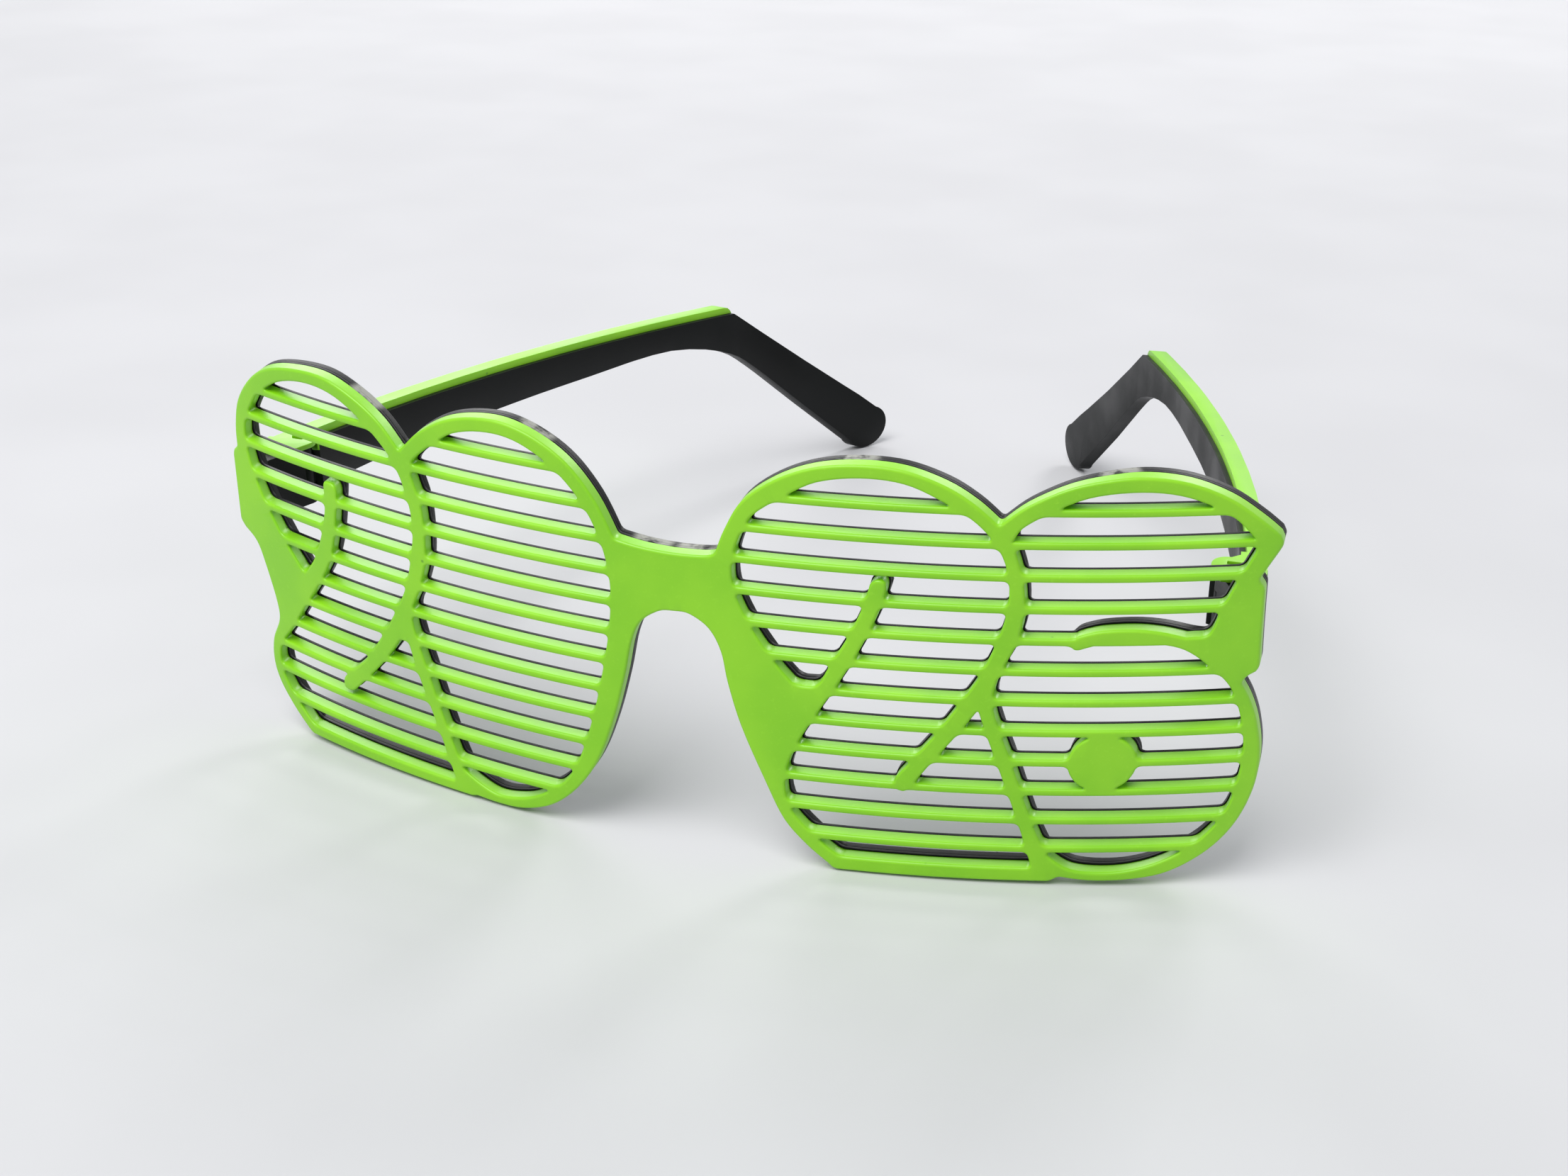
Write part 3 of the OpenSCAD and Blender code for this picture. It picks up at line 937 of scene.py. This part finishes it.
    def left_zero(self) -> Loop:
        """The opening inside the 0, clockwise."""
        return (
            smooth_run([(-32.9, -4.5), (-28.9, -1.8), (-23.9, -0.7), (-19.4, -1.3),
                        (-14.9, -3.9), (-11.4, -7.8), (-9.2, -12.5), (-8.2, -17.9), (-8.6, -24),
                        (-9.9, -31), (-11.6, -37.9), (-13.7, -44.1), (-16.1, -48.3),
                        (-19.8, -51.3), (-22.9, -52.7), (-26.8, -53.2), (-30.5, -51.7)])
            + smooth_run([(-31.6, -51), (-33.1, -47.2), (-35.9, -38.1), (-38, -29.8),
                          (-36.4, -25.3), (-35, -21.1), (-34.6, -16.8), (-34.8, -12.7),
                          (-35.9, -8.7), (-35.5, -6.9), (-32.9, -4.5)])
        )

    def dot(self, more: float) -> Loop:
        """The round spot's outline.

        Args:
            more: How much is added to its radius.

        Returns:
            The loop, anticlockwise.
        """
        x, z = self.across(self.dot_place[0]), self.dot_place[1]
        r = self.dot_radius + more
        angles = np.linspace(0, 2 * math.pi, self.dot_steps + 1)[:-1]
        return [(x + r * math.cos(a), z + r * math.sin(a)) for a in angles]

    def counters(self, less: float) -> list[Loop]:
        """The four openings without slats, laid on the face.

        Args:
            less: How much smaller they are on every side.

        Returns:
            The loops, clockwise.
        """
        openings = (self.right_two(), self.right_six(), self.left_two(), self.left_zero())
        return [moved(self.laid(without_repeats(loop)), less) for loop in openings]

    def slots(self, less: float, corner: float) -> list[Loop]:
        """Every opening between two slats.

        Args:
            less: How much smaller the counters are on every side.
            corner: The reach of the rounding at their corners.

        Returns:
            The openings' loops, clockwise.
        """
        two, six, *others = self.counters(less)
        slats = [-k * self.slat_pitch for k in range(1, self.slat_count + 1)]
        ceilings = [self.top, *slats]
        floors = [*(slat + self.slat_height for slat in slats), self.bottom]
        made: list[Loop] = []
        for counter in (two, self._around_dot(six, less), *others):
            for ceiling, floor in zip(ceilings, floors):
                for upper in keep_below(counter, ceiling):
                    for slot in map(without_repeats, keep_below(upper, floor, -1)):
                        area = abs(signed_area(slot))
                        if area > self.least_slot:
                            share = self.small_corner if area < self.small_slot else 1.0
                            made.append(rounded(slot, corner * share))
        return made

    def _around_dot(self, counter: Loop, less: float) -> Loop:
        """The 6's opening led around the spot by a slit that lies inside a slat.

        Args:
            counter: The opening.
            less: How much smaller the opening is, by which the spot grows.

        Returns:
            The opening with the spot left out.
        """
        z = self.dot_place[1]
        spot = self.dot(less)
        turn = spot.index(min(spot))
        edge = spot[turn][0]
        low, high = z - self.slit, z + self.slit
        for i, ((x0, z0), (x1, z1)) in enumerate(zip(counter, counter[1:] + counter[:1])):
            if z0 < z <= z1 and x0 < edge:
                x = x0 + (x1 - x0) * (z - z0) / (z1 - z0)
                round_spot = [(edge, low), *spot[turn + 1 :], *spot[:turn], (edge, high)]
                return [*counter[: i + 1], (x, low), *round_spot, (x, high), *counter[i + 1 :]]
        return counter


@dataclass(frozen=True)
class Edge:
    """One ring of a sheet's edge: how far in from the wall, and how deep."""

    inward: float
    depth: float


@dataclass
class SheetMaker:
    """Turns flat loops into a wrapped sheet with rounded edges."""

    face_radius: float
    stand: Stand = field(default_factory=Stand)
    mesh_step: float = 2.0
    edge_share: float = 0.35
    same: float = 1e-7
    shade_weight: int = 80

    def _cap(self, loops: list[Loop]) -> tuple[np.ndarray, np.ndarray]:
        """Fill the area between loops with triangles.

        Args:
            loops: Closed loops; a point belongs if it is inside an odd number of them.

        Returns:
            The added inner points, and triangles by number, loop points first.
        """
        count = sum(len(loop) for loop in loops)
        points = np.array([q for loop in loops for q in loop], float)
        step = self.mesh_step
        xs, zs = (np.arange(c.min(), c.max(), step) for c in points.T)
        grid = np.array([(x + k % 2 * step / 2, z) for k, z in enumerate(zs) for x in xs])
        grid = grid[odd_inside(grid, loops)]
        clear = np.array([np.abs(points - q).max(1).min() for q in grid]) > step * self.edge_share
        grid = grid[clear]
        every = np.concatenate([points, grid])
        edges, first = [], 0
        for loop in loops:
            edges += [(first + k, first + (k + 1) % len(loop)) for k in range(len(loop))]
            first += len(loop)
        flat_points = [Vector(q) for q in every]
        out = delaunay_2d_cdt(flat_points, edges, [], 0, self.same, True)
        verts, faces, origins = out[0], out[2], out[3]
        crossed = [tuple(round(c, 1) for c in v) for v, o in zip(verts, origins) if not o]
        if crossed:
            log.warning("the outline crosses itself near %s", crossed)
        number = [o[0] if len(o) else -1 for o in origins]
        triangles = np.array([f for f in faces if len(f) == 3 and min(number[i] for i in f) >= 0])
        flat = np.array([tuple(v) for v in verts])
        centres = flat[triangles].mean(1)
        kept = triangles[odd_inside(centres, loops)]
        return grid, np.array([[number[i] for i in f] for f in kept]).reshape(-1, 3)

    def build(
        self, name: str, loops: list[Loop], edge: Sequence[Edge], front: float
    ) -> bpy.types.Object:
        """Make a sheet.

        Args:
            name: The piece's name.
            loops: The outline, clockwise, then the openings, clockwise.
            edge: Rings from the front face to the back face.
            front: Depth of the front face behind the wrapped face.

        Returns:
            The new object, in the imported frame.
        """
        size = sum(len(loop) for loop in loops)
        rings: list[np.ndarray] = []
        for ring in edge:
            placed: Loop = []
            for k, loop in enumerate(loops):
                placed += moved(loop, ring.inward if k == 0 else -ring.inward)
            rings.append(np.array(placed, float))
        starts = np.cumsum([0] + [len(loop) for loop in loops])
        front_loops = [[tuple(q) for q in rings[0][a:b]] for a, b in zip(starts, starts[1:])]
        grid, triangles = self._cap(front_loops)
        places = [self._wrap(flat, front + ring.depth) for ring, flat in zip(edge, rings)]
        places += [self._wrap(grid, front + ring.depth) for ring in (edge[0], edge[-1])]
        last = (len(edge) - 1) * size
        grid_front, grid_back = len(edge) * size, len(edge) * size + len(grid)

        def numbers(triangle: Sequence[int], ring_start: int, grid_start: int) -> tuple[int, ...]:
            """A cap triangle's points by their numbers in the whole mesh."""
            return tuple(ring_start + i if i < size else grid_start + i - size for i in triangle)

        faces: list[tuple[int, ...]] = []
        for triangle in triangles:
            faces.append(numbers(triangle, 0, grid_front))
            faces.append(numbers(triangle[::-1], last, grid_back))
        for a, b in zip(starts, starts[1:]):
            for level in range(0, last, size):
                for k in range(a, b):
                    i, j = level + k, level + (k + 1 if k + 1 < b else a)
                    faces.append((i, j, j + size, i + size))
        mesh = bpy.data.meshes.new(name)
        mesh.from_pydata(np.concatenate(places).tolist(), [], faces)
        mesh.transform(self.stand.matrix())
        made = bmesh.new()
        made.from_mesh(mesh)
        bmesh.ops.recalc_face_normals(made, faces=made.faces)
        made.to_mesh(mesh)
        made.free()
        mesh.shade_smooth()
        piece = shown(name, mesh)
        weighted = piece.modifiers.new("even_shade", "WEIGHTED_NORMAL")
        weighted.weight = self.shade_weight
        log.info("%s: %d points, %d faces", name, len(mesh.vertices), len(mesh.polygons))
        return piece

    def _wrap(self, flat: np.ndarray, depth: float) -> np.ndarray:
        """Points seen from the front, set straight back to a depth behind the wrapped face."""
        radius = self.face_radius - depth
        return np.stack([flat[:, 0], -np.sqrt(radius**2 - flat[:, 0] ** 2), flat[:, 1]], 1)


@dataclass
class ShutterFront:
    """The slatted front: a green layer, and a black layer with thinner slats."""

    finishes: Finishes
    shape: FrontShape = field(default_factory=FrontShape)
    green_depth: float = 1.8
    black_depth: float = 1.6
    slat_back: float = 0.5
    lip: float = 0.16
    corner: float = 0.75
    edge_round: float = 0.36
    arc_points: int = 5
    bevel_share: float = 0.3
    seam: float = 0.05
    seam_depth: float = 0.06
    hidden_seam: float = 0.02
    outline_corner: float = 0.5
    corner_steps: int = 4
    sharp_turn: float = 30.0
    longest_edge: float = 1.6

    def build(self) -> list[bpy.types.Object]:
        """Make both layers and let them stand for the CAD's layers.

        Returns:
            The green layer, the black slats and the black rim.
        """
        shape, r = self.shape, self.edge_round
        maker = SheetMaker(shape.face_radius)
        outline = self._eased(shape.laid(without_repeats(shape.outline())))
        arc = [
            Edge(r * (1 - math.sin(a)), r * (1 - math.cos(a)))
            for a in np.linspace(0, math.pi / 2, self.arc_points)
        ]
        back = [Edge(0.0, self.green_depth - self.seam_depth), Edge(self.seam, self.green_depth)]
        green = maker.build("green_front", [outline, *self._slots(0.0)], [*arc, *back], 0.0)
        self.finishes.dress(green, Finish.GREEN)
        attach(green, "front")
        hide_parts("front_green_layer")

        edge = [
            Edge(self.seam, 0.0),
            Edge(0.0, self.seam_depth),
            Edge(0.0, self.slat_back - self.seam),
            Edge(self.seam, self.slat_back),
        ]
        loops = [outline, *self._slots(self.lip)]
        strips = maker.build("black_slats", loops, edge, self.green_depth)

        depth = self.black_depth - self.slat_back
        bevel = r * self.bevel_share
        edge = [
            Edge(self.hidden_seam, 0.0),
            Edge(0.0, 2 * self.hidden_seam),
            Edge(0.0, depth - r),
            Edge(bevel, depth - bevel),
            Edge(r, depth),
        ]
        loops = [outline, *map(self._eased, shape.counters(self.lip)), shape.dot(self.lip)]
        rim = maker.build("black_rim", loops, edge, self.green_depth + self.slat_back)
        for piece in (strips, rim):
            self.finishes.dress(piece, Finish.BLACK)
            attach(piece, "front")
            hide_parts("front_black_layer")
        return [green, strips, rim]

    def _slots(self, less: float) -> list[Loop]:
        """The openings between the slats, smaller on every side where wanted."""
        return [divided(loop, self.longest_edge) for loop in self.shape.slots(less, self.corner)]

    def _eased(self, loop: Loop) -> Loop:
        """A long outline with its corners rounded and its edges divided."""
        eased = rounded(loop, self.outline_corner, self.corner_steps, self.sharp_turn)
        return divided(eased, self.longest_edge)


# ---- arms and hinges


@dataclass
class CadPiece:
    """A CAD node's shape with its edges rounded, which stands for the node."""

    node: str
    body: str
    finish: Finish
    round_mm: float
    segments: int = 3
    weld_mm: float = 0.002
    sliver_mm: float = 0.001
    flat_angle: float = 1.0
    sharp_angle: float = 30.0

    def build(self, frame: dict[str, Any], finishes: Finishes) -> bpy.types.Object:
        """Copy the node's mesh, clean it and round its edges.

        Args:
            finishes: The materials.

        Returns:
            The new object.
        """
        mesh = frame["nodes"][self.node].data.copy()
        mesh.name = self.node + "_look"
        made = bmesh.new()
        made.from_mesh(mesh)
        bmesh.ops.remove_doubles(made, verts=made.verts, dist=self.weld_mm * MM)
        bmesh.ops.dissolve_degenerate(made, edges=made.edges, dist=self.sliver_mm * MM)
        flat = math.radians(self.flat_angle)
        bmesh.ops.dissolve_limit(made, angle_limit=flat, verts=made.verts, edges=made.edges)
        bmesh.ops.recalc_face_normals(made, faces=made.faces)
        made.to_mesh(mesh)
        made.free()
        mesh.shade_smooth()
        piece = shown(mesh.name, mesh)
        rounding = piece.modifiers.new("rounded_edges", "BEVEL")
        rounding.width = self.round_mm * MM
        rounding.segments = self.segments
        rounding.limit_method = "ANGLE"
        rounding.angle_limit = math.radians(self.sharp_angle)
        rounding.use_clamp_overlap = True
        rounding.harden_normals = True
        finishes.dress(piece, self.finish)
        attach(piece, self.body)
        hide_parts(self.node)
        log.info("%s: %d faces before rounding", piece.name, len(mesh.polygons))
        return piece


@dataclass
class Arm:
    """One folding arm: a black core with its hook, and a green cover outside it."""

    side: Side
    core_round: float = 0.35
    cover_round: float = 0.3

    def build(self, frame: dict[str, Any], finishes: Finishes) -> list[bpy.types.Object]:
        """Make the arm's two pieces.

        Args:
            finishes: The materials.

        Returns:
            The core and the cover.
        """
        body = f"{self.side.word}_arm"
        core = CadPiece(f"{body}_core", body, Finish.BLACK, self.core_round)
        cover = CadPiece(f"{body}_cover", body, Finish.GREEN, self.cover_round)
        return [piece.build(frame, finishes) for piece in (core, cover)]


@dataclass
class Hinge:
    """One hinge: a black block with a green cap, and the pin that the arm turns on."""

    side: Side
    block_round: float = 0.15

    def build(self, frame: dict[str, Any], finishes: Finishes) -> list[bpy.types.Object]:
        """Make the block and the cap, and dress the CAD's pin.

        Args:
            finishes: The materials.

        Returns:
            The block, the cap and the pin.
        """
        hinge = f"{self.side.word}_hinge"
        pin = frame["nodes"][f"{hinge}_pin"]
        finishes.dress(pin, Finish.STEEL)
        block = CadPiece(f"{hinge}_block", "front", Finish.BLACK, self.block_round)
        cap = CadPiece(f"{hinge}_cap", "front", Finish.GREEN, self.block_round)
        return [*(piece.build(frame, finishes) for piece in (block, cap)), pin]


# ---- the studio


@dataclass(frozen=True)
class Lamp:
    """One square soft lamp: its place and its side in metres, and its power in watts."""

    name: str
    place: tuple[float, float, float]
    size: float
    watts: float
    aim: tuple[float, float, float] = (0.0, 0.0, 0.03)

    def build(self) -> None:
        """Hang the lamp and point it at the glasses."""
        data = bpy.data.lights.new(self.name, "AREA")
        data.shape, data.size, data.energy = "SQUARE", self.size, self.watts
        lamp = shown(self.name, data)
        lamp.location = self.place
        lamp.rotation_mode = "QUATERNION"
        way = Vector(self.aim) - Vector(self.place)
        lamp.rotation_quaternion = way.to_track_quat("-Z", "Y")


@dataclass
class Studio:
    """The pale table, the soft lamps, the world and the camera of the photograph.

    The camera's place in millimetres and its turn, an axis times an angle in radians, are
    in the front's own frame.
    """

    stand: Stand = field(default_factory=Stand)
    focal_px: float = 3000.0
    image_width: float = 2212.0
    sensor_mm: float = 36.0
    camera_place: tuple[float, float, float] = (81.4, -376.8, 103.3)
    camera_turn: tuple[float, float, float] = (-2.04657411, -0.31423, 0.19644868)
    sight: tuple[float, float] = (0.01, 10.0)
    table_reach: float = 3.0
    table_gap: float = 0.0002
    room_colour: tuple[float, float, float, float] = (0.9, 0.95, 1.0, 1.0)
    room_strength: float = 0.45
    pale_colour: tuple[float, float, float, float] = (0.8, 0.8, 0.82, 1.0)
    lamps: tuple[Lamp, ...] = (
        Lamp("key_lamp", (-0.15, -0.5, 0.85), 0.6, 8.2),
        Lamp("left_back_lamp", (-0.5, 0.75, 0.5), 0.5, 3.0),
        Lamp("right_back_lamp", (0.25, 0.85, 0.53), 0.3, 3.0),
    )

    def camera(self) -> None:
        """Set the camera where the photograph was taken from."""
        data = bpy.data.cameras.new("photo_camera")
        data.sensor_width = self.sensor_mm
        data.lens = self.focal_px / self.image_width * self.sensor_mm
        data.clip_start, data.clip_end = self.sight
        camera = shown("photo_camera", data)
        turn = Vector(self.camera_turn)
        turned = Matrix.Rotation(turn.length, 3, turn.normalized())
        axes = Matrix((turned.col[0], -turned.col[1], -turned.col[2])).transposed()
        tilt = Matrix.Rotation(math.radians(self.stand.tilt), 3, "X")
        place = (tilt @ Vector(self.camera_place) + Vector(self.stand.shift)) * MM
        camera.matrix_world = Matrix.Translation(place) @ (tilt @ axes).to_4x4()
        bpy.context.scene.camera = camera

    def floor(self) -> None:
        """Lay the pale table."""
        mesh = bpy.data.meshes.new("table_top")
        signs = ((-1, -1), (1, -1), (1, 1), (-1, 1))
        corners = [(x * self.table_reach, y * self.table_reach, -self.table_gap) for x, y in signs]
        mesh.from_pydata(corners, [], [(0, 1, 2, 3)])
        table = shown("table_top", mesh)
        mesh.materials.append(PaleFloor().build())

    def world(self) -> None:
        """Fill the room with even light, and show it pale to the camera and in reflections."""
        world = bpy.data.worlds.new("studio_world")
        bpy.context.scene.world = world
        shader = Shader(world)
        path = shader.node("ShaderNodeLightPath", {}, {}, None)
        rays = ("Is Camera Ray", "Is Glossy Ray", "Is Transmission Ray")
        seen = reduce(Value.most, [Value(shader, path.outputs[ray]) for ray in rays])
        inputs = {"Color": self.room_colour, "Strength": self.room_strength}
        room = shader.node("ShaderNodeBackground", {}, inputs)
        pale = shader.node("ShaderNodeBackground", {}, {"Color": self.pale_colour, "Strength": 1.0})
        mix = shader.node("ShaderNodeMixShader", {}, {0: seen, 1: room, 2: pale})
        shader.node("ShaderNodeOutputWorld", {}, {"Surface": mix}, None)

    def build(self) -> None:
        """Set up the whole studio."""
        bpy.context.scene.view_settings.view_transform = "Standard"
        self.camera()
        self.floor()
        self.world()
        for lamp in self.lamps:
            lamp.build()


def main() -> None:
    """Load the frame, build every piece in order and report it."""
    logging.basicConfig(level=logging.INFO, format="%(message)s")
    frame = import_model()
    Studio().build()
    finishes = Finishes()
    pieces = ShutterFront(finishes).build()
    for side in Side:
        pieces += Hinge(side).build(frame, finishes)
        pieces += Arm(side).build(frame, finishes)
    for piece in pieces:
        log.info("piece %s", piece.name)


if __name__ == "__main__":
    main()
